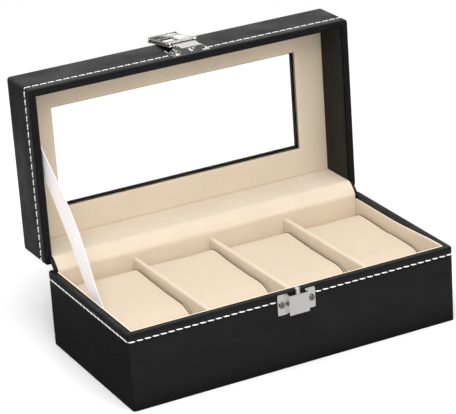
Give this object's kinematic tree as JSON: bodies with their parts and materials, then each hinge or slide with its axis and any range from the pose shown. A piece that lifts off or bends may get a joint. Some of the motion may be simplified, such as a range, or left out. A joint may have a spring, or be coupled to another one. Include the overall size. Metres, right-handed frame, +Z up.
{
  "type": "watch box",
  "caption": "Rectangular leather-look watch box with a hinged window lid, cream velvet slots with lift-out cushions, a folding metal clasp in front and a ribbon lid stay.",
  "frame": {"origin": "middle of the underside, on the surface that the box stands on", "axes": "+Z up, +X to the right along the width, -Y towards the clasp at the front, hinges at +Y"},
  "size_m": [0.21, 0.1573, 0.1626],
  "materials": {
    "leather_black": "fine grain, semi-gloss",
    "velvet_cream": "short-pile velvet",
    "ribbon_white": "satin",
    "felt_black": "felt",
    "board": "raw fibreboard",
    "pane": "clear",
    "metal_bright": "polished nickel",
    "hinge_metal": "nickel"
  },
  "bodies": {
    "base": {"base_floor_board": "board", "base_wall_front": "board", "base_wall_back": "board", "base_wall_left": "board", "base_wall_right": "board", "base_leather_front": "leather_black", "base_leather_back": "leather_black", "base_leather_left": "leather_black", "base_leather_right": "leather_black", "bottom_felt": "felt_black", "base_lining_floor": "velvet_cream", "base_lining_front": "velvet_cream", "base_lining_back": "velvet_cream", "base_lining_left": "velvet_cream", "base_lining_right": "velvet_cream", "hinge_cover": "velvet_cream", "divider_1": "velvet_cream", "divider_2": "velvet_cream", "divider_3": "velvet_cream", "ribbon_stay": "ribbon_white", "keeper_plate": "metal_bright", "keeper_stud": "metal_bright", "keeper_screw_left": "metal_bright", "keeper_screw_right": "metal_bright", "hinge_base_leaf_left": "hinge_metal", "hinge_base_leaf_right": "hinge_metal", "hinge_base_screws_left": "hinge_metal", "hinge_base_screws_right": "hinge_metal", "hinge_pin_left": "hinge_metal", "hinge_pin_right": "hinge_metal"},
    "lid": {"lid_top_board": "board", "lid_wall_front": "board", "lid_wall_back": "board", "lid_wall_left": "board", "lid_wall_right": "board", "lid_leather_front": "leather_black", "lid_leather_back": "leather_black", "lid_leather_left": "leather_black", "lid_leather_right": "leather_black", "lid_leather_top": "leather_black", "lid_lining_front": "leather_black", "lid_lining_left": "leather_black", "lid_lining_right": "leather_black", "lid_lining_back": "velvet_cream", "window_inner_frame": "velvet_cream", "window_pane": "pane", "clasp_plate": "metal_bright", "clasp_screw_left": "metal_bright", "clasp_screw_right": "metal_bright", "clasp_pin": "metal_bright", "hinge_lid_leaf_left": "hinge_metal", "hinge_lid_leaf_right": "hinge_metal", "hinge_lid_screws_left": "hinge_metal", "hinge_lid_screws_right": "hinge_metal"},
    "clasp_flap": {"clasp_flap": "metal_bright"},
    "cushion_1": {"cushion_1": "velvet_cream"},
    "cushion_2": {"cushion_2": "velvet_cream"},
    "cushion_3": {"cushion_3": "velvet_cream"},
    "cushion_4": {"cushion_4": "velvet_cream"}
  },
  "joints": [
    {"name": "lid_hinge", "type": "hinge", "parent": "base", "child": "lid", "pos_m": [0, 0.0557, 0.0473], "axis": [-1, 0, 0], "range_deg": [-90.8, 0], "deforming": ["hinge_cover", "ribbon_stay"]},
    {"name": "clasp_hinge", "type": "hinge", "parent": "lid", "child": "clasp_flap", "pos_m": [0, 0.07019, 0.16101], "axis": [-1, 0, 0], "range_deg": [-187.88, 0]},
    {"name": "cushion_1_lift", "type": "slide", "parent": "base", "child": "cushion_1", "axis": [0, 0, 1], "range_m": [0, 0.05]},
    {"name": "cushion_2_lift", "type": "slide", "parent": "base", "child": "cushion_2", "axis": [0, 0, 1], "range_m": [0, 0.05]},
    {"name": "cushion_3_lift", "type": "slide", "parent": "base", "child": "cushion_3", "axis": [0, 0, 1], "range_m": [0, 0.05]},
    {"name": "cushion_4_lift", "type": "slide", "parent": "base", "child": "cushion_4", "axis": [0, 0, 1], "range_m": [0, 0.05]}
  ]
}
